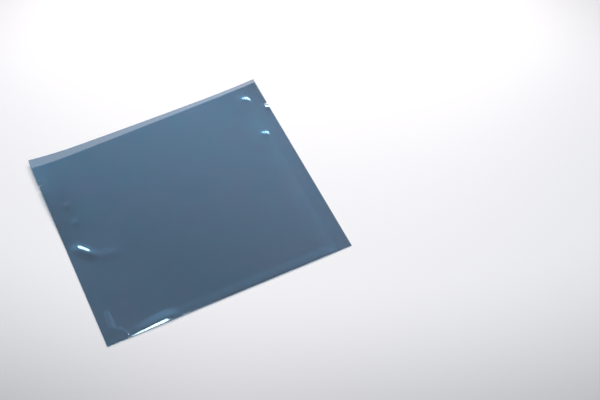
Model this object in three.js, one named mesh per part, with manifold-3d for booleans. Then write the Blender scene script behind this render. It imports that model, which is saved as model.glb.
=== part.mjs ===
// Open shielding pouch lying flat: one web of metallised film, folded at the bottom and
// heat sealed down both sides, with a back sheet that stands past the front one as a lip.
// Millimetres. +X runs along the mouth, +Y from the fold to the mouth, +Z up from the table.

import * as THREE from 'three';
import { mergeVertices } from 'three/addons/utils/BufferGeometryUtils.js';
import Module from 'manifold-3d';

const wasm = await Module();
wasm.setup();

// Film and pouch
const filmThickness = 0.08;
const pocketWidth = 152.4;
const sealWidth = 9.5;
const backLength = 157.5;
const lipLength = 5.3;
const lipTaper = 4.6;
const mouthBow = 0.8;

// Air between the two sheets
const sheetGap = 0.34;
const seamGap = 0.1;
const seamRise = 9;
const billowHeight = 0.45;

// Bead where the springy film turns at the fold, and the stretch where it stands fuller.
// The turn is longer than it is high, by its flatness.
const beadHeight = 0.2;
const beadReach = 7;
const foldFlatness = 4.8;
const fullBeadHeight = 0.5;
const fullBeadFromLeft = 29;
const fullBeadSpread = 17;

// Left edge, which curls up off the table from the mouth to the middle: how far in it reaches,
// how far down it is held level, and where it lies flat again
const edgeLift = 2.8;
const edgeLiftIn = 34;
const edgeLiftHeld = 20;
const edgeLiftDown = 82;

// Corners of the mouth, which curl up a little more: height of each, and how far it reaches in
// from the side and down from the mouth
const cornerCurls = [
  { side: -1, height: 0.5, inward: 26, down: 16 },
  { side: 1, height: 1.3, inward: 44, down: 40 },
];

// Tear notches in the side seals
const notchFromMouth = 24;
const notchDepth = 2.6;
const notchWidth = 1.5;
const notchTipRadius = 0.25;

// Puckers that the heat left along the inner lines of the seals: height of each, how far it
// lies below the mouth, and how far it spreads along the seal and into the pocket
const puckers = [
  { side: -1, height: 0.6, fromMouth: 87, along: 8, inward: 8 },
  { side: -1, height: 0.3, fromMouth: 62.5, along: 7, inward: 7 },
  { side: -1, height: 0.3, fromMouth: 46.7, along: 7, inward: 7 },
  { side: 1, height: 0.3, fromMouth: 16.2, along: 8, inward: 9 },
  { side: 1, height: 0.3, fromMouth: 50.3, along: 8, inward: 9 },
];

// Spacing of the sections and of the rows along them
const sectionStep = 8;
const seamSectionStep = 3.2;
const rowStep = 5;
const endRowStep = 2.4;
const foldSegments = 6;
const cutterOverrun = 3;
const cutterHeadroom = 10;

// Places worked out from the sizes above
const pouchWidth = pocketWidth + 2 * sealWidth;
const leftEdge = -pouchWidth / 2;
const seamLine = pocketWidth / 2;
const mouthLine = backLength / 2;
const foldLine = -backLength / 2;
const clearOfFilm = edgeLift + billowHeight + cutterHeadroom;

// 1 at zero distance, easing to 0 with a level end at the given reach
function fade(distance, reach) {
  const left = Math.max(0, 1 - Math.abs(distance) / reach);
  return left * left * (3 - 2 * left);
}

// 1 at zero distance, straightening out like a bent sheet to 0 at the given reach
function curl(distance, reach) {
  const left = Math.max(0, 1 - distance / reach);
  return left * left;
}

// Height of the back sheet's underside above the table
function tableClearance(x, y) {
  const down = Math.max(0, mouthLine - y);
  const past = Math.max(0, down - edgeLiftHeld);
  const inFromLeft = Math.max(0, x - leftEdge);
  let height = edgeLift * curl(inFromLeft, edgeLiftIn) * fade(past, edgeLiftDown - edgeLiftHeld);
  for (const corner of cornerCurls) {
    const inFromSide = Math.max(0, pouchWidth / 2 - corner.side * x);
    height += corner.height * curl(inFromSide, corner.inward) * curl(down, corner.down);
  }
  return height;
}

// Line where the front sheet was cut, which runs a little askew
function frontEdge(x) {
  return mouthLine - lipLength + (lipTaper * x) / pouchWidth;
}

// Line where the back sheet was cut, which bows in a little between the seals
function backEdge(x) {
  const fromMiddle = (2 * x) / pouchWidth;
  return mouthLine - mouthBow * (1 - fromMiddle * fromMiddle);
}

// Share of the full gap that the sheets reach at a distance from the seal's inner line
function seamOpening(x) {
  return 1 - curl(Math.max(0, seamLine - Math.abs(x)), seamRise);
}

// Air between the sheets at the fold, where the bead stands
function foldGap(x) {
  const full = fullBeadHeight * fade(x - (leftEdge + fullBeadFromLeft), fullBeadSpread);
  return seamGap + seamOpening(x) * (sheetGap - seamGap + beadHeight + full);
}

// Air between the two sheets anywhere inside the seals
function sheetSpacing(x, y) {
  if (Math.abs(x) > seamLine) {
    return 0;
  }
  const open = seamOpening(x);
  const flat = seamGap + open * (sheetGap - seamGap);
  const bead = (foldGap(x) - flat) * curl(y - foldLine, beadReach);
  const dome = Math.cos((Math.PI * x) / pocketWidth) * Math.cos((Math.PI * y) / backLength);
  let gap = flat + bead + open * billowHeight * Math.max(0, dome);
  for (const pucker of puckers) {
    const along = fade(y - (mouthLine - pucker.fromMouth), pucker.along);
    const inward = fade(x - pucker.side * (seamLine - pucker.inward / 2), pucker.inward);
    gap += pucker.height * open * along * inward;
  }
  return gap;
}

// Stops from start to end, no further apart than the step
function spaced(start, end, step) {
  const count = Math.max(1, Math.ceil((end - start) / step));
  return Array.from({ length: count }, (_, i) => start + ((end - start) * i) / count);
}

// Stations across the pouch, closer together where the sheets part from the seals
function pocketStations() {
  const inner = seamLine - seamRise * 2;
  return [
    ...spaced(-seamLine, -inner, seamSectionStep),
    ...spaced(-inner, inner, sectionStep),
    ...spaced(inner, seamLine, seamSectionStep),
    seamLine,
  ];
}

const sealStations = spaced(leftEdge, -seamLine, sealWidth / 2);
const pocketSections = pocketStations();
const pouchSections = [
  ...sealStations,
  ...pocketSections,
  ...sealStations.map((x) => -x).reverse(),
];

// Rows of the front sheet as shares of the way from the fold's centre to the sheet's cut edge
const rowReach = backLength - lipLength;
const frontRows = [
  ...spaced(0, beadReach, endRowStep),
  ...spaced(beadReach, rowReach, rowStep),
  rowReach,
].map((distance) => distance / rowReach);
const lipRows = [0.5, 1];

// Half height and depth of the fold's outside at a station, and where its centre is
function foldAt(x) {
  const gap = Math.abs(x) > seamLine ? 0 : foldGap(x);
  const radius = filmThickness + gap / 2;
  const depth = filmThickness + (foldFlatness * gap) / 2;
  const centreY = foldLine + depth;
  const centreZ = tableClearance(x, centreY) + radius;
  return { radius, depth, centreY, centreZ };
}

// Y of every row of one section, from the fold's centre to the mouth
function rowsAt(x) {
  const start = foldAt(x).centreY;
  const cut = frontEdge(x);
  const end = backEdge(x);
  return [
    ...frontRows.map((share) => start + (cut - start) * share),
    ...lipRows.map((share) => cut + (end - cut) * share),
  ];
}

// Points of the fold from the top sheet round to the bottom one, without its two ends, and
// inset from its outside
function foldArc(x, inset) {
  const { radius, depth, centreY, centreZ } = foldAt(x);
  return Array.from({ length: foldSegments - 1 }, (_, i) => {
    const angle = Math.PI / 2 + (Math.PI * (i + 1)) / foldSegments;
    const y = centreY + (depth - inset) * Math.cos(angle);
    return new THREE.Vector3(x, y, centreZ + (radius - inset) * Math.sin(angle));
  });
}

// Points of one sheet's surface along a section
function sheetLine(x, rows, height) {
  return rows.map((y) => new THREE.Vector3(x, y, height(x, y)));
}

const innerFloor = (x, y) => tableClearance(x, y) + filmThickness;
const innerRoof = (x, y) => innerFloor(x, y) + sheetSpacing(x, y);
const outerRoof = (x, y) => innerRoof(x, y) + filmThickness;

// Section of the whole pouch as if it were filled
function outerSection(x) {
  const rows = rowsAt(x);
  const under = sheetLine(x, rows, tableClearance);
  const over = sheetLine(x, rows, outerRoof).reverse();
  return [...under, ...over, ...foldArc(x, 0)];
}

// Section of the pocket, running out past the mouth
function pocketSection(x) {
  const rows = rowsAt(x);
  const floor = sheetLine(x, rows, innerFloor);
  const roof = sheetLine(x, rows, innerRoof);
  const past = new THREE.Vector3(0, cutterOverrun, 0);
  floor.push(floor.at(-1).clone().add(past));
  roof.push(roof.at(-1).clone().add(past));
  return [...floor, ...roof.reverse(), ...foldArc(x, filmThickness)];
}

// Section of what is cut away above the lip
function lipSection(x) {
  const onPouch = THREE.MathUtils.clamp(x, leftEdge, -leftEdge);
  const rows = rowsAt(onPouch).slice(frontRows.length - 1);
  const floor = rows.map((y) => new THREE.Vector3(x, y, innerFloor(onPouch, y)));
  const end = floor.at(-1).clone();
  end.y += cutterOverrun;
  return [
    ...floor,
    end,
    new THREE.Vector3(x, end.y, clearOfFilm),
    new THREE.Vector3(x, floor[0].y, clearOfFilm),
  ];
}

// Closed skin through matching sections, each a ring that runs anticlockwise seen from +X
function loft(sections) {
  const count = sections[0].length;
  const vertices = sections.flat().flatMap((point) => point.toArray());
  const triangles = [];
  for (let s = 0; s < sections.length - 1; s += 1) {
    for (let i = 0; i < count; i += 1) {
      const here = s * count + i;
      const next = s * count + ((i + 1) % count);
      triangles.push(here, next, next + count, here, next + count, here + count);
    }
  }
  const last = (sections.length - 1) * count;
  for (const [a, b, c] of fillRing(sections[0])) {
    triangles.push(c, b, a);
  }
  for (const [a, b, c] of fillRing(sections.at(-1))) {
    triangles.push(last + a, last + b, last + c);
  }
  const geometry = new THREE.BufferGeometry();
  geometry.setAttribute('position', new THREE.Float32BufferAttribute(vertices, 3));
  geometry.setIndex(triangles);
  return solidFrom(geometry);
}

// Triangles that fill one section
function fillRing(section) {
  const outline = section.map((point) => new THREE.Vector2(point.y, point.z));
  return THREE.ShapeUtils.triangulateShape(outline, []);
}

// Solid from a closed geometry
function solidFrom(geometry) {
  const bare = geometry.clone();
  bare.deleteAttribute('normal');
  bare.deleteAttribute('uv');
  const merged = mergeVertices(bare);
  const mesh = new wasm.Mesh({
    numProp: 3,
    vertProperties: new Float32Array(merged.attributes.position.array),
    triVerts: new Uint32Array(merged.index.array),
  });
  return new wasm.Manifold(mesh);
}

// Tear notch: a narrow V with a rounded tip, cut in from the pouch's edge on one side
function tearNotch(side) {
  const half = notchWidth / 2;
  const tipCentre = notchDepth - notchTipRadius;
  const outline = new THREE.Shape();
  outline.moveTo(-cutterOverrun, -half);
  outline.lineTo(0, -half);
  outline.lineTo(tipCentre, -notchTipRadius);
  outline.absarc(tipCentre, 0, notchTipRadius, -Math.PI / 2, Math.PI / 2, false);
  outline.lineTo(0, half);
  outline.lineTo(-cutterOverrun, half);
  outline.closePath();
  const geometry = new THREE.ExtrudeGeometry(outline, {
    depth: clearOfFilm + cutterOverrun,
    bevelEnabled: false,
    curveSegments: 4,
  });
  geometry.translate(0, 0, -cutterOverrun);
  if (side > 0) {
    geometry.rotateZ(Math.PI);
  }
  geometry.translate((side * pouchWidth) / 2, mouthLine - notchFromMouth, 0);
  return solidFrom(geometry);
}

// The finished web: outside, less the pocket, less the front sheet over the lip, less the notches
function filmPouch() {
  const lipStations = [
    leftEdge - cutterOverrun,
    ...pouchSections,
    -leftEdge + cutterOverrun,
  ];
  const cutters = [
    loft(pocketSections.map(pocketSection)),
    loft(lipStations.map(lipSection)),
    tearNotch(-1),
    tearNotch(1),
  ];
  let pouch = loft(pouchSections.map(outerSection));
  for (const cutter of cutters) {
    pouch = pouch.subtract(cutter);
  }
  return pouch;
}

// Geometry for display and export from a finished solid
function geometryFrom(solid) {
  const mesh = solid.getMesh();
  const geometry = new THREE.BufferGeometry();
  geometry.setAttribute('position', new THREE.BufferAttribute(mesh.vertProperties, 3));
  geometry.setIndex(new THREE.BufferAttribute(mesh.triVerts, 1));
  geometry.computeVertexNormals();
  return geometry;
}

const shieldingFilm = new THREE.MeshStandardMaterial({
  color: 0x506782,
  metalness: 0.45,
  roughness: 0.18,
  transparent: true,
  opacity: 0.84,
  side: THREE.DoubleSide,
});

const pouch = new THREE.Mesh(geometryFrom(filmPouch()), shieldingFilm);
pouch.name = 'pouch';

const model = new THREE.Group();
model.add(pouch);

export default model;
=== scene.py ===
"""Open shielding bag of metallised film, lying flat on a pale table.

The bag is one web of film: folded across at the bottom, welded down both sides and open at the
mouth, where the back sheet stands past the front one as a lip. Metres, in the CAD model's frame:
+X along the mouth, +Y from the fold to the mouth and +Z up from the table.
"""

import logging
import math
from collections.abc import Sequence
from dataclasses import dataclass, field
from enum import Enum

import bmesh
import bpy
from mathutils import Euler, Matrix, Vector


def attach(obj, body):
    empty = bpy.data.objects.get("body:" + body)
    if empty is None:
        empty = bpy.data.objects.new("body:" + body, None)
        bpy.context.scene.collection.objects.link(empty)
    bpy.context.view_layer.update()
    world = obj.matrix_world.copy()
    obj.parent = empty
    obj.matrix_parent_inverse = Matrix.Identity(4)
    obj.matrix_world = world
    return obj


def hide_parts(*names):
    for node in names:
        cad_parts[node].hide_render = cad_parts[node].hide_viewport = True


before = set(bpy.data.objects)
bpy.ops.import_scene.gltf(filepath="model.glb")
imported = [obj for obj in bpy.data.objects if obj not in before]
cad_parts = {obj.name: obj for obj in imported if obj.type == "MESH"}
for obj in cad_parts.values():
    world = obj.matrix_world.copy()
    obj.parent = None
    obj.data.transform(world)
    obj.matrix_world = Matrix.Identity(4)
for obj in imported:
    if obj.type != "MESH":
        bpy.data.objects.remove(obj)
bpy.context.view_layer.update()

MM = 0.001
LOG = logging.getLogger("shielding_bag")

# Corners of the film sharper than this stay crisp; cuts snap to points nearer than the tolerance
SHARP_ANGLE_DEG = 50.0
CUT_TOLERANCE = 1e-7

# The photograph's frame, and the lens and pose that its four corners of the bag give
PHOTO_WIDTH_PX = 600
FOCAL_LENGTH_PX = 1120
SENSOR_WIDTH_MM = 36.0
CAMERA_PITCH_DEG = 56.13
CAMERA_TURN_DEG = 25.69
CAMERA_PLACE = (-0.11324, -0.41336, 0.6318)
CAMERA_NEAR_CLIP = 0.01


class Sheet(Enum):
    """The two sheets of the bag, with the side of the fold that each lies on in the flat web."""

    BACK = -1
    FRONT = 1


class Side(Enum):
    """The two side seals, with the sign of X that each lies on."""

    LEFT = -1
    RIGHT = 1


def fade(distance: float, reach: float) -> float:
    """Ease from 1 at no distance to 0 at the reach, level at both ends.

    Args:
        distance: How far off the point is, of either sign.
        reach: Where the effect ends.

    Returns:
        A share from 0 to 1.
    """
    left = max(0.0, 1.0 - abs(distance) / reach)
    return left * left * (3.0 - 2.0 * left)


def curl(distance: float, reach: float) -> float:
    """Ease from 1 at no distance to 0 at the reach, as a bent sheet straightens out.

    Args:
        distance: How far off the point is, in the direction away from the edge.
        reach: Where the sheet is straight again.

    Returns:
        A share from 0 to 1.
    """
    left = max(0.0, 1.0 - max(0.0, distance) / reach)
    return left * left


def stops(marks: Sequence[tuple[float, float]], end: float) -> list[float]:
    """Work out rising stations that are closer together where detail needs it.

    Args:
        marks: Start of each stretch, with the widest step allowed in it.
        end: Last station.

    Returns:
        Every station, with both ends.
    """
    stations: list[float] = []
    starts = [start for start, _ in marks]
    for (start, step), stop in zip(marks, [*starts[1:], end]):
        count = max(1, math.ceil((stop - start) / step))
        stations += [start + (stop - start) * i / count for i in range(count)]
    return [*stations, end]


@dataclass(frozen=True)
class Wrinkle:
    """A short ridge in the film, drawn between two points of it.

    The flanks are steep near the crest and die out into the sheet, and both ends taper off.
    """

    # Distance from the crest, in widths, past which nothing of the ridge is left
    FLANK_END = 3.0

    start: tuple[float, float]
    end: tuple[float, float]
    height: float
    width: float
    taper: float

    def lift(self, x: float, y: float) -> float:
        """Height that the ridge adds.

        Args:
            x: Place across the bag.
            y: Place along the bag.

        Returns:
            Height in metres.
        """
        ax, ay = self.start
        dx, dy = self.end[0] - ax, self.end[1] - ay
        length = math.hypot(dx, dy)
        along = ((x - ax) * dx + (y - ay) * dy) / (length * length)
        off = ((x - ax) * dy - (y - ay) * dx) / length
        if abs(off) > self.FLANK_END * self.width:
            return 0.0
        past = max(0.0, -along, along - 1.0) * length
        return self.height * fade(past, self.taper) * math.exp(-((off / self.width) ** 2))


@dataclass(frozen=True)
class Pucker:
    """A soft swelling that the heat of a side seal left beside its inner line."""

    centre: tuple[float, float]
    height: float
    across: float
    along: float

    def lift(self, x: float, y: float) -> float:
        """Height that the swelling adds.

        Args:
            x: Place across the bag.
            y: Place along the bag.

        Returns:
            Height in metres.
        """
        off_x, off_y = x - self.centre[0], y - self.centre[1]
        return self.height * fade(off_x, self.across) * fade(off_y, self.along)


@dataclass(frozen=True)
class CornerCurl:
    """A corner of the mouth that curls up off the table a little more than the edge beside it."""

    side: Side
    height: float
    inward: float
    down: float


@dataclass(frozen=True)
class Notch:
    """The tear notches: a narrow V with a blunt tip, through both sheets at each side seal."""

    from_mouth: float = 24.0 * MM
    depth: float = 2.6 * MM
    width: float = 2.0 * MM
    tip_width: float = 0.7 * MM


@dataclass
class FilmForm:
    """Sizes of the bag and the lie of its two sheets on the table."""

    # The film and the outline of the finished bag
    thickness: float = 0.08 * MM
    pocket_width: float = 152.4 * MM
    seal_width: float = 9.5 * MM
    back_length: float = 157.5 * MM
    lip: float = 5.3 * MM
    lip_taper: float = 4.6 * MM
    mouth_bow: float = 0.8 * MM

    # Air between the sheets: in the seals, in the pocket, and in the swell of its middle
    seal_gap: float = 0.03 * MM
    sheet_gap: float = 0.28 * MM
    seam_rise: float = 12.0 * MM
    billow: float = 0.45 * MM

    # Bead of air along the fold, fullest near the left corner
    bead: float = 0.2 * MM
    bead_reach: float = 7.0 * MM
    fold_flatness: float = 4.8
    full_bead: float = 0.6 * MM
    full_bead_from_left: float = 42.0 * MM
    full_bead_left_spread: float = 27.0 * MM
    full_bead_right_spread: float = 9.0 * MM

    # Left edge and right corner of the mouth, which stand off the table
    edge_lift: float = 2.5 * MM
    edge_lift_in: float = 34.0 * MM
    edge_lift_held: float = 20.0 * MM
    edge_lift_down: float = 82.0 * MM
    corner_curl: CornerCurl = CornerCurl(Side.RIGHT, 1.3 * MM, 44.0 * MM, 40.0 * MM)

    # Right edge of the front sheet, which draws in near the mouth and shows the back sheet
    front_inset: float = 0.9 * MM
    front_inset_down: float = 32.0 * MM

    # Marks in the front sheet alone, which the seals hold down: puckers, then soft streaks
    seam_release: float = 4.0
    puckers: tuple[Pucker, ...] = (
        Pucker((-75.0 * MM, 32.0 * MM), 0.2 * MM, 5.0 * MM, 4.0 * MM),
        Pucker((-73.5 * MM, 17.0 * MM), 0.2 * MM, 5.0 * MM, 4.0 * MM),
        Pucker((71.7 * MM, 61.0 * MM), 0.12 * MM, 12.0 * MM, 9.0 * MM),
        Pucker((68.0 * MM, 26.0 * MM), 0.12 * MM, 12.0 * MM, 9.0 * MM),
    )
    streaks: tuple[Wrinkle, ...] = (
        Wrinkle((-68.0 * MM, -14.0 * MM), (-60.0 * MM, -16.0 * MM), 0.2 * MM, 3.5 * MM, 9.0 * MM),
        Wrinkle((71.6 * MM, 64.2 * MM), (75.4 * MM, 62.6 * MM), 0.16 * MM, 2.3 * MM, 5.0 * MM),
        Wrinkle((71.2 * MM, 30.2 * MM), (74.8 * MM, 29.0 * MM), 0.16 * MM, 2.3 * MM, 5.0 * MM),
    )

    # Marks through both sheets: a buckle at the left seal, three creases in the lower left
    # corner, and the flap below the right notch
    buckles: tuple[Wrinkle, ...] = (
        Wrinkle((-76.8 * MM, -5.4 * MM), (-74.4 * MM, -8.4 * MM), 0.88 * MM, 3.0 * MM, 9.0 * MM),
        Wrinkle((-79.0 * MM, -57.0 * MM), (-79.6 * MM, -67.0 * MM), 0.26 * MM, 0.7 * MM, 4.0 * MM),
        Wrinkle((-76.9 * MM, -59.5 * MM), (-76.9 * MM, -67.5 * MM), 0.4 * MM, 0.8 * MM, 6.0 * MM),
        Wrinkle((-74.0 * MM, -70.6 * MM), (-71.0 * MM, -75.8 * MM), 0.25 * MM, 0.8 * MM, 1.5 * MM),
        Wrinkle((83.2 * MM, 51.4 * MM), (85.4 * MM, 50.4 * MM), 0.3 * MM, 1.4 * MM, 1.5 * MM),
    )

    @property
    def width(self) -> float:
        """Outside width, over both side seals."""
        return self.pocket_width + 2.0 * self.seal_width

    @property
    def left(self) -> float:
        """X of the left edge."""
        return -self.width / 2.0

    @property
    def seam(self) -> float:
        """Distance of each seal's inner line from the middle."""
        return self.pocket_width / 2.0

    @property
    def mouth(self) -> float:
        """Y of the back sheet's cut edge."""
        return self.back_length / 2.0

    @property
    def fold(self) -> float:
        """Y of the fold's outermost line."""
        return -self.back_length / 2.0

    def clearance(self, x: float, y: float) -> float:
        """Work out the height of the back sheet's underside above the table.

        Args:
            x: Place across the bag.
            y: Place along the bag.

        Returns:
            Height in metres.
        """
        down = max(0.0, self.mouth - y)
        past = max(0.0, down - self.edge_lift_held)
        height = self.edge_lift * curl(x - self.left, self.edge_lift_in)
        height *= fade(past, self.edge_lift_down - self.edge_lift_held)
        corner = self.corner_curl
        from_side = self.width / 2.0 - corner.side.value * x
        height += corner.height * curl(from_side, corner.inward) * curl(down, corner.down)
        return height + sum(buckle.lift(x, y) for buckle in self.buckles)

    def cut_edge(self, sheet: Sheet, x: float) -> float:
        """Find a sheet's cut edge at the mouth.

        The back sheet's bows in a little between the seals, and the front one's runs askew.

        Args:
            sheet: Which sheet.
            x: Place across the bag.

        Returns:
            Y of the edge.
        """
        if sheet is Sheet.FRONT:
            return self.mouth - self.lip + self.lip_taper * x / self.width
        off = 2.0 * x / self.width
        return self.mouth - self.mouth_bow * (1.0 - off * off)

    def cut_length(self, sheet: Sheet) -> float:
        """Length of a sheet in the flat web, from the fold to its cut edge."""
        return self.back_length if sheet is Sheet.BACK else self.back_length - self.lip

    def opening(self, x: float) -> float:
        """Share of the full gap that the sheets reach at this place across the bag."""
        return 1.0 - curl(self.seam - abs(x), self.seam_rise) if abs(x) < self.seam else 0.0

    def fold_gap(self, x: float) -> float:
        """Air inside the bead of film at the fold."""
        from_full = x - self.left - self.full_bead_from_left
        spread = self.full_bead_right_spread if from_full > 0.0 else self.full_bead_left_spread
        full = self.full_bead * fade(from_full, spread)
        open_gap = self.sheet_gap - self.seal_gap + self.bead + full
        return self.seal_gap + self.opening(x) * open_gap

    def fold_radius(self, x: float) -> float:
        """Half of the fold's outside height."""
        return self.thickness + self.fold_gap(x) / 2.0

    def fold_depth(self, x: float) -> float:
        """How far the fold's round reaches in from its outermost line."""
        return self.thickness + self.fold_flatness * self.fold_gap(x) / 2.0

    def spacing(self, x: float, y: float) -> float:
        """Work out the air between the two sheets.

        Args:
            x: Place across the bag.
            y: Place along the bag.

        Returns:
            Gap in metres.
        """
        open_share = self.opening(x)
        flat = self.seal_gap + open_share * (self.sheet_gap - self.seal_gap)
        past_fold = max(0.0, y - self.fold - self.fold_depth(x))
        bead = (self.fold_gap(x) - flat) * fade(past_fold, self.bead_reach)
        dome = math.cos(math.pi * x / self.pocket_width) * math.cos(math.pi * y / self.back_length)
        swell = open_share * self.billow * max(0.0, dome)
        free = min(1.0, self.seam_release * open_share)
        marks = free * sum(mark.lift(x, y) for mark in (*self.puckers, *self.streaks))
        return flat + bead + swell + marks

    def on_sheet(self, sheet: Sheet, x: float, share: float) -> Vector:
        """Find a point on the outer face of one sheet.

        Args:
            sheet: Which sheet.
            x: Place across the bag.
            share: How far up the sheet, from 0 where the fold ends to 1 at the cut edge.

        Returns:
            The point in the bag's frame.
        """
        start = self.fold + self.fold_depth(x)
        y = start + (self.cut_edge(sheet, x) - start) * share
        z = self.clearance(x, y)
        if sheet is Sheet.FRONT:
            z += 2.0 * self.thickness + self.spacing(x, y)
            outer = max(0.0, (x - self.seam) / self.seal_width)
            x -= self.front_inset * outer * fade(self.mouth - y, self.front_inset_down)
        return Vector((x, y, z))

    def on_fold(self, x: float, turn: float) -> Vector:
        """Find a point on the outside of the fold.

        Args:
            x: Place across the bag.
            turn: From -1 at the back sheet to 1 at the front one.

        Returns:
            The point in the bag's frame.
        """
        radius, depth = self.fold_radius(x), self.fold_depth(x)
        y = self.fold + depth
        angle = turn * math.pi / 2.0
        centre = self.clearance(x, y) + radius
        return Vector((x, y - depth * math.cos(angle), centre + radius * math.sin(angle)))


@dataclass(frozen=True)
class MetallisedFilm:
    """Finish of the film: a thin metal coat that mirrors part of the light and tints the rest.

    Its mirror tint drifts in faint patches, and its haze and bump follow a fine ripple.
    """

    name: str = "metallised_film"
    clear_tint: tuple[float, float, float] = (0.59, 0.6, 0.645)
    mirror_tints: tuple[tuple[float, float, float], ...] = ((0.42, 0.83, 1.0), (0.5, 0.81, 1.0))
    tint_patch: float = 0.025
    patch_limits: tuple[float, float] = (0.35, 0.65)
    patch_detail: float = 1.0
    mirror_head_on: float = 0.15
    mirror_grazing: float = 0.75
    facing_blend: float = 0.35
    roughness: tuple[float, float] = (0.1, 0.13)
    ripple_size: float = 0.018
    ripple_detail: float = 2.0
    ripple_strength: float = 0.12

    def build(self) -> bpy.types.Material:
        """Make the material.

        Returns:
            The new material.
        """
        material = bpy.data.materials.new(self.name)
        material.use_nodes = True
        tree = material.node_tree
        tree.nodes.clear()
        place = tree.nodes.new("ShaderNodeTexCoord")
        output = tree.nodes.new("ShaderNodeOutputMaterial")

        ripple = tree.nodes.new("ShaderNodeTexNoise")
        ripple.inputs["Scale"].default_value = 1.0 / self.ripple_size
        ripple.inputs["Detail"].default_value = self.ripple_detail
        tree.links.new(place.outputs["Object"], ripple.inputs["Vector"])

        bump = tree.nodes.new("ShaderNodeBump")
        bump.inputs["Strength"].default_value = self.ripple_strength
        bump.inputs["Distance"].default_value = MM
        tree.links.new(ripple.outputs["Fac"], bump.inputs["Height"])

        haze = tree.nodes.new("ShaderNodeMapRange")
        haze.inputs["To Min"].default_value, haze.inputs["To Max"].default_value = self.roughness
        tree.links.new(ripple.outputs["Fac"], haze.inputs["Value"])

        patches = tree.nodes.new("ShaderNodeTexNoise")
        patches.inputs["Scale"].default_value = 1.0 / self.tint_patch
        patches.inputs["Detail"].default_value = self.patch_detail
        tree.links.new(place.outputs["Object"], patches.inputs["Vector"])
        tint = tree.nodes.new("ShaderNodeValToRGB")
        for element, position, colour in zip(
            tint.color_ramp.elements, self.patch_limits, self.mirror_tints
        ):
            element.position = position
            element.color = (*colour, 1.0)
        tree.links.new(patches.outputs["Fac"], tint.inputs["Fac"])

        clear = tree.nodes.new("ShaderNodeBsdfTransparent")
        clear.inputs["Color"].default_value = (*self.clear_tint, 1.0)

        mirror = tree.nodes.new("ShaderNodeBsdfPrincipled")
        mirror.inputs["Metallic"].default_value = 1.0
        tree.links.new(tint.outputs["Color"], mirror.inputs["Base Color"])
        tree.links.new(haze.outputs["Result"], mirror.inputs["Roughness"])
        tree.links.new(bump.outputs["Normal"], mirror.inputs["Normal"])

        facing = tree.nodes.new("ShaderNodeLayerWeight")
        facing.inputs["Blend"].default_value = self.facing_blend
        share = tree.nodes.new("ShaderNodeMapRange")
        share.inputs["To Min"].default_value = self.mirror_head_on
        share.inputs["To Max"].default_value = self.mirror_grazing
        tree.links.new(facing.outputs["Fresnel"], share.inputs["Value"])

        mix = tree.nodes.new("ShaderNodeMixShader")
        tree.links.new(share.outputs["Result"], mix.inputs["Fac"])
        tree.links.new(clear.outputs["BSDF"], mix.inputs[1])
        tree.links.new(mirror.outputs["BSDF"], mix.inputs[2])
        tree.links.new(mix.outputs["Shader"], output.inputs["Surface"])
        return material


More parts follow.
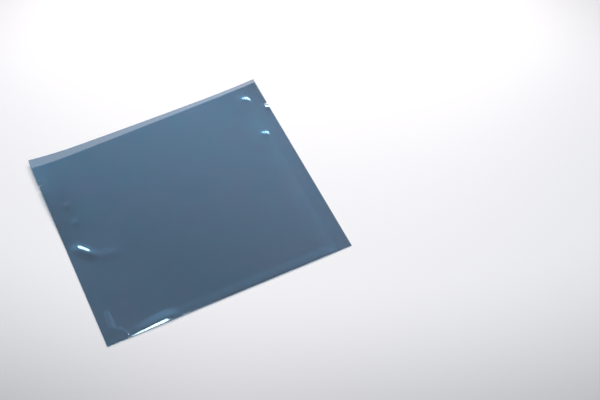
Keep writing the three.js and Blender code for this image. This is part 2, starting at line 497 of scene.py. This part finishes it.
@dataclass
class Bag:
    """The bag's single piece of film, from flat web to folded bag."""

    form: FilmForm = field(default_factory=FilmForm)
    notch: Notch = field(default_factory=Notch)
    finish: MetallisedFilm = field(default_factory=MetallisedFilm)

    # Steps of the web's grid across the bag, and how far the finer ones reach
    column_step: float = 2.2 * MM
    left_column_step: float = 0.4 * MM
    left_band: float = 12.0 * MM
    seam_column_step: float = 0.8 * MM
    seam_band: float = 10.0 * MM

    # Steps along the web, and the strip each side of its middle that turns round the fold
    front_row_step: float = 1.1 * MM
    back_row_step: float = 2.2 * MM
    fold_row_step: float = 0.6 * MM
    fold_band: float = 13.0 * MM
    fold_half: float = 1.0 * MM
    fold_rows: int = 6

    def columns(self) -> list[float]:
        """Stations across the web, closer together at both seals and closest at the left edge."""
        form = self.form
        return stops(
            [
                (form.left, self.left_column_step),
                (form.left + self.left_band, self.seam_column_step),
                (-form.seam + self.seam_band, self.column_step),
                (form.seam - self.seam_band, self.seam_column_step),
            ],
            -form.left,
        )

    def rows(self) -> list[float]:
        """Stations along the flat web, from the back sheet's mouth to the front sheet's."""
        half, count = self.fold_half, self.fold_rows
        near_fold = half + self.fold_band
        back, front = (self.form.cut_length(sheet) for sheet in (Sheet.BACK, Sheet.FRONT))
        below = stops([(-back, self.back_row_step), (-near_fold, self.fold_row_step)], -half)
        turn = [half * i / count for i in range(1 - count, count)]
        above = stops([(half, self.fold_row_step), (near_fold, self.front_row_step)], front)
        return [*below, *turn, *above]

    def flat_web(self) -> bmesh.types.BMesh:
        """Cut the flat web: an even grid from -1 to 1, moved to its rows and columns.

        Returns:
            The web in the XY plane, with Y running along it and the fold at 0.
        """
        columns, rows = self.columns(), self.rows()
        across, along = len(columns) - 1, len(rows) - 1
        web = bmesh.new()
        bmesh.ops.create_grid(web, x_segments=across, y_segments=along, size=1.0)
        for vertex in web.verts:
            column = round((vertex.co.x + 1.0) / 2.0 * across)
            row = round((vertex.co.y + 1.0) / 2.0 * along)
            vertex.co = (columns[column], rows[row], 0.0)
        return web

    def web_row(self, sheet: Sheet, x: float, y: float) -> float:
        """Find where along the flat web a line across the finished bag lies.

        Args:
            sheet: Which sheet.
            x: Place across the bag.
            y: Place along the bag.

        Returns:
            The row's place along the web, signed for its sheet.
        """
        form = self.form
        start = form.fold + form.fold_depth(x)
        share = (y - start) / (form.cut_edge(sheet, x) - start)
        flat = form.cut_length(sheet) - self.fold_half
        return sheet.value * (self.fold_half + flat * share)

    def cut_notch(self, web: bmesh.types.BMesh, sheet: Sheet, side: Side) -> None:
        """Cut one V out of the flat web's edge.

        Args:
            web: The flat web.
            sheet: Sheet that the V goes through.
            side: Edge that it is cut in from.
        """
        edge = side.value * self.form.width / 2.0
        middle = self.web_row(sheet, edge, self.form.mouth - self.notch.from_mouth)
        tip = edge - side.value * self.notch.depth
        tip_half, half = self.notch.tip_width / 2.0, self.notch.width / 2.0
        flanks = [
            (Vector((tip, middle + sign * tip_half, 0.0)), Vector((edge, middle + sign * half, 0.0)))
            for sign in (-1.0, 1.0)
        ]
        for start, end in [*flanks, (flanks[0][0], flanks[1][0])]:
            run = end - start
            near = self.faces_near(web, edge, middle)
            parts = dict.fromkeys(item for face in near for item in (*face.verts, *face.edges))
            bmesh.ops.bisect_plane(
                web,
                geom=[*near, *parts],
                dist=CUT_TOLERANCE,
                plane_co=start,
                plane_no=Vector((-run.y, run.x, 0.0)).normalized(),
            )
        inside = [
            face
            for face in self.faces_near(web, edge, middle)
            if self.in_notch(face.calc_center_median(), tip, edge, middle)
        ]
        bmesh.ops.delete(web, geom=inside, context="FACES")

    def faces_near(
        self, web: bmesh.types.BMesh, edge: float, middle: float
    ) -> list[bmesh.types.BMFace]:
        """Pick the faces around a notch.

        Args:
            web: The flat web.
            edge: X of the edge that the notch is cut in from.
            middle: Row of the notch's middle.

        Returns:
            The faces within twice the notch's depth.
        """
        window = 2.0 * self.notch.depth
        place = Vector((edge, middle, 0.0))
        return [face for face in web.faces if (face.calc_center_median() - place).length < window]

    def in_notch(self, point: Vector, tip: float, edge: float, middle: float) -> bool:
        """Tell whether a point of the flat web lies inside a notch.

        Args:
            point: Point to test.
            tip: X of the notch's inner end.
            edge: X of the edge that it is cut in from.
            middle: Row of its middle.

        Returns:
            True inside the notch.
        """
        share = (point.x - tip) / (edge - tip)
        width = self.notch.tip_width + share * (self.notch.width - self.notch.tip_width)
        return 0.0 < share <= 1.0 and abs(point.y - middle) < width / 2.0

    def fold_up(self, web: bmesh.types.BMesh) -> None:
        """Fold the flat web over its middle, and lay both sheets down.

        Args:
            web: The flat web, which is changed.
        """
        form = self.form
        for vertex in web.verts:
            x, along = vertex.co.x, vertex.co.y
            if abs(along) < self.fold_half:
                vertex.co = form.on_fold(x, along / self.fold_half)
                continue
            sheet = Sheet.FRONT if along > 0.0 else Sheet.BACK
            share = (abs(along) - self.fold_half) / (form.cut_length(sheet) - self.fold_half)
            vertex.co = form.on_sheet(sheet, x, share)

    def build(self) -> bpy.types.Object:
        """Make the finished piece.

        Returns:
            The film as a closed mesh with its finish.
        """
        web = self.flat_web()
        for sheet in Sheet:
            for side in Side:
                self.cut_notch(web, sheet, side)
        self.fold_up(web)
        bmesh.ops.recalc_face_normals(web, faces=web.faces)
        bmesh.ops.solidify(web, geom=web.faces, thickness=-self.form.thickness)
        bmesh.ops.recalc_face_normals(web, faces=web.faces)
        mesh = bpy.data.meshes.new("bag_film")
        web.to_mesh(mesh)
        web.free()
        mesh.shade_smooth()
        mesh.set_sharp_from_angle(angle=math.radians(SHARP_ANGLE_DEG))
        mesh.materials.append(self.finish.build())
        piece = bpy.data.objects.new("bag_film", mesh)
        bpy.context.scene.collection.objects.link(piece)
        return piece


@dataclass
class Studio:
    """Table, lamps, surroundings and camera.

    The table's painted pool of light and its painted glow are placed in a frame that is turned about
    Z.
    """

    # The table, with a pool of light painted into its colour: brightest in a wide pool behind the
    # bag, and painted shade darker out to its reach
    table_size: float = 8.0
    table_drop: float = 0.2 * MM
    table_colour: tuple[float, float, float] = (0.905, 0.893, 0.888)
    painted_pool_centre: tuple[float, float] = (0.077, 0.05)
    painted_pool_squeeze: float = 0.45
    painted_pool_reach: tuple[float, float] = (0.11, 0.29)
    painted_edge_shade: float = 0.43
    table_roughness: float = 0.35

    # Its painted glow where it is seen through the film, in place of the film's shadow on it: whole
    # past two surfaces, and painted brighter from near left to far right
    painted_glow_share: float = 1.0
    painted_glow_full_depth: float = 2.0
    painted_glow_turn_deg: float = 60.0
    painted_glow_near: float = 0.9
    painted_glow_far: float = 1.7
    painted_glow_span: tuple[float, float] = (-0.04, 0.1)

    # A wide lamp behind the bag, and a long narrow one over it
    backlight_power: float = 7.0
    backlight_size: tuple[float, float] = (0.8, 0.2)
    backlight_distance: float = 0.95
    backlight_right: float = 0.04
    backlight_height_deg: float = 35.0
    overhead_power: float = 2.5
    overhead_size: tuple[float, float] = (0.072, 0.8)
    overhead_place: tuple[float, float, float] = (-0.009, -0.25, 0.7)
    lamp_colour: tuple[float, float, float] = (1.0, 0.89, 0.84)

    # The surroundings: height of a direction, from 0 level to 1 straight up, and its level
    sky_colour: tuple[float, float, float] = (0.56, 0.8, 1.0)
    sky_levels: tuple[tuple[float, float], ...] = (
        (0.0, 0.13),
        (0.58, 0.24),
        (0.7, 0.84),
        (0.78, 0.67),
        (0.84, 0.47),
        (0.9, 0.33),
        (1.0, 0.15),
    )

    def turned_place(self, tree: bpy.types.NodeTree, angle_deg: float) -> bpy.types.NodeSocket:
        """Add the nodes that give a place on the table in a frame turned about Z.

        Args:
            tree: Node tree of the table's material.
            angle_deg: How far the frame's Y is turned towards the bag's X.

        Returns:
            The place, as an output.
        """
        place = tree.nodes.new("ShaderNodeTexCoord")
        turned = tree.nodes.new("ShaderNodeVectorRotate")
        turned.rotation_type = "Z_AXIS"
        turned.inputs["Angle"].default_value = math.radians(angle_deg)
        tree.links.new(place.outputs["Object"], turned.inputs["Vector"])
        return turned.outputs["Vector"]

    def painted_pool_tone(self, tree: bpy.types.NodeTree) -> bpy.types.NodeSocket:
        """Add the nodes of the table's colour, with a painted pool of light: it darkens in painted
        shade away from the pool.

        Args:
            tree: Node tree of the table's material.

        Returns:
            The colour, as an output.
        """
        pool = tree.nodes.new("ShaderNodeMapping")
        pool.vector_type = "TEXTURE"
        pool.inputs["Location"].default_value = (*self.painted_pool_centre, 0.0)
        pool.inputs["Scale"].default_value = (1.0 / self.painted_pool_squeeze, 1.0, 1.0)
        tree.links.new(self.turned_place(tree, CAMERA_TURN_DEG), pool.inputs["Vector"])
        off = tree.nodes.new("ShaderNodeVectorMath")
        off.operation = "LENGTH"
        tree.links.new(pool.outputs["Vector"], off.inputs[0])
        shade = tree.nodes.new("ShaderNodeMapRange")
        shade.interpolation_type = "SMOOTHSTEP"
        shade.inputs["From Min"].default_value = self.painted_pool_reach[0]
        shade.inputs["From Max"].default_value = self.painted_pool_reach[1]
        shade.inputs["To Min"].default_value = 1.0
        shade.inputs["To Max"].default_value = self.painted_edge_shade
        tree.links.new(off.outputs["Value"], shade.inputs["Value"])
        # Painted pool of light and painted shade: the table's colour itself is scaled down away from
        # the pool
        tone = tree.nodes.new("ShaderNodeVectorMath")
        tone.operation = "SCALE"
        tone.inputs[0].default_value = self.table_colour
        tree.links.new(shade.outputs["Result"], tone.inputs["Scale"])
        return tone.outputs["Vector"]

    def glow(self, tree: bpy.types.NodeTree) -> bpy.types.NodeSocket:
        """Add the nodes of the table's painted glow, which grows along its own direction as a
        painted gradient of light.

        Args:
            tree: Node tree of the table's material.

        Returns:
            The emission, as an output.
        """
        split = tree.nodes.new("ShaderNodeSeparateXYZ")
        tree.links.new(self.turned_place(tree, self.painted_glow_turn_deg), split.inputs["Vector"])
        level = tree.nodes.new("ShaderNodeMapRange")
        level.inputs["From Min"].default_value = self.painted_glow_span[0]
        level.inputs["From Max"].default_value = self.painted_glow_span[1]
        level.inputs["To Min"].default_value = self.painted_glow_near
        level.inputs["To Max"].default_value = self.painted_glow_far
        tree.links.new(split.outputs["Y"], level.inputs["Value"])
        emission = tree.nodes.new("ShaderNodeEmission")
        emission.inputs["Color"].default_value = (*self.table_colour, 1.0)
        tree.links.new(level.outputs["Result"], emission.inputs["Strength"])
        return emission.outputs["Emission"]

    def table_material_with_painted_light(self) -> bpy.types.Material:
        """Make the white of the table, with a painted glow that shows only through what lies on it.

        Returns:
            The new material.
        """
        material = bpy.data.materials.new("pale_table")
        material.use_nodes = True
        tree = material.node_tree
        shader = tree.nodes["Principled BSDF"]
        shader.inputs["Roughness"].default_value = self.table_roughness
        tree.links.new(self.painted_pool_tone(tree), shader.inputs["Base Color"])

        # Painted glow: past transparent surfaces the table turns into an emission, in place of the
        # film's shadow on it
        path = tree.nodes.new("ShaderNodeLightPath")
        under = tree.nodes.new("ShaderNodeMapRange")
        under.inputs["From Max"].default_value = self.painted_glow_full_depth
        under.inputs["To Max"].default_value = self.painted_glow_share
        tree.links.new(path.outputs["Transparent Depth"], under.inputs["Value"])
        mix = tree.nodes.new("ShaderNodeMixShader")
        tree.links.new(under.outputs["Result"], mix.inputs["Fac"])
        tree.links.new(shader.outputs["BSDF"], mix.inputs[1])
        tree.links.new(self.glow(tree), mix.inputs[2])
        tree.links.new(mix.outputs["Shader"], tree.nodes["Material Output"].inputs["Surface"])
        return material

    def table(self) -> bpy.types.Object:
        """Make the pale table top.

        Returns:
            The table, for the stage.
        """
        top = bmesh.new()
        bmesh.ops.create_grid(top, x_segments=1, y_segments=1, size=self.table_size / 2.0)
        bmesh.ops.translate(top, verts=top.verts, vec=(0.0, 0.0, -self.table_drop))
        mesh = bpy.data.meshes.new("table_top")
        top.to_mesh(mesh)
        top.free()
        mesh.materials.append(self.table_material_with_painted_light())
        table = bpy.data.objects.new("table_top", mesh)
        bpy.context.scene.collection.objects.link(table)
        return table

    def lamp(
        self, name: str, place: Vector, tilt: Euler, power: float, size: tuple[float, float]
    ) -> None:
        """Hang one soft lamp.

        Args:
            name: Name of the lamp.
            place: Where it hangs.
            tilt: How it is turned from facing straight down.
            power: Watts.
            size: Width and height of its face.
        """
        light = bpy.data.lights.new(name, "AREA")
        light.shape = "RECTANGLE"
        light.size, light.size_y = size
        light.energy = power
        light.color = self.lamp_colour
        lamp = bpy.data.objects.new(name, light)
        lamp.location = place
        lamp.rotation_euler = tilt
        lamp.visible_camera = False
        bpy.context.scene.collection.objects.link(lamp)

    def lamps(self) -> None:
        """Hang the light behind the bag and the long one over it."""
        turn = math.radians(CAMERA_TURN_DEG)
        height = math.radians(self.backlight_height_deg)
        away = Vector((math.sin(turn), math.cos(turn), 0.0))
        right = Vector((math.cos(turn), -math.sin(turn), 0.0))
        back = away * math.cos(height) + Vector((0.0, 0.0, math.sin(height)))
        place = back * self.backlight_distance + right * self.backlight_right
        to_bag = (-place).to_track_quat("-Z", "Y").to_euler()
        self.lamp("backlight", place, to_bag, self.backlight_power, self.backlight_size)
        over = Vector(self.overhead_place)
        self.lamp("overhead_light", over, Euler(), self.overhead_power, self.overhead_size)

    def surround(self) -> None:
        """Set the surroundings: dim all round, pale halfway up and dim again at the ceiling."""
        world = bpy.data.worlds.new("studio")
        world.use_nodes = True
        tree = world.node_tree
        background = tree.nodes["Background"]
        background.inputs["Color"].default_value = (*self.sky_colour, 1.0)
        direction = tree.nodes.new("ShaderNodeTexCoord")
        split = tree.nodes.new("ShaderNodeSeparateXYZ")
        tree.links.new(direction.outputs["Generated"], split.inputs["Vector"])
        ramp = tree.nodes.new("ShaderNodeValToRGB")
        band = ramp.color_ramp
        while len(band.elements) < len(self.sky_levels):
            band.elements.new(1.0)
        for element, (height, level) in zip(band.elements, self.sky_levels):
            element.position = height
            element.color = (level, level, level, 1.0)
        tree.links.new(split.outputs["Z"], ramp.inputs["Fac"])
        tree.links.new(ramp.outputs["Color"], background.inputs["Strength"])
        bpy.context.scene.world = world

    def camera(self) -> None:
        """Place the camera as the photograph was taken."""
        data = bpy.data.cameras.new("camera")
        data.sensor_width = SENSOR_WIDTH_MM
        data.lens = FOCAL_LENGTH_PX * SENSOR_WIDTH_MM / PHOTO_WIDTH_PX
        data.clip_start = CAMERA_NEAR_CLIP
        camera = bpy.data.objects.new("camera", data)
        camera.location = CAMERA_PLACE
        turn = (90.0 - CAMERA_PITCH_DEG, 0.0, -CAMERA_TURN_DEG)
        camera.rotation_euler = Euler([math.radians(angle) for angle in turn])
        bpy.context.scene.collection.objects.link(camera)
        bpy.context.scene.camera = camera


def main() -> None:
    """Build the studio and the bag."""
    logging.basicConfig(level=logging.INFO, format="%(name)s: %(message)s")
    bpy.context.scene.view_settings.view_transform = "Standard"
    studio = Studio()
    studio.camera()
    studio.lamps()
    studio.surround()
    table = studio.table()

    bag = Bag()
    film = bag.build()
    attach(film, "root")
    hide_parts("pouch")


if __name__ == "__main__":
    main()
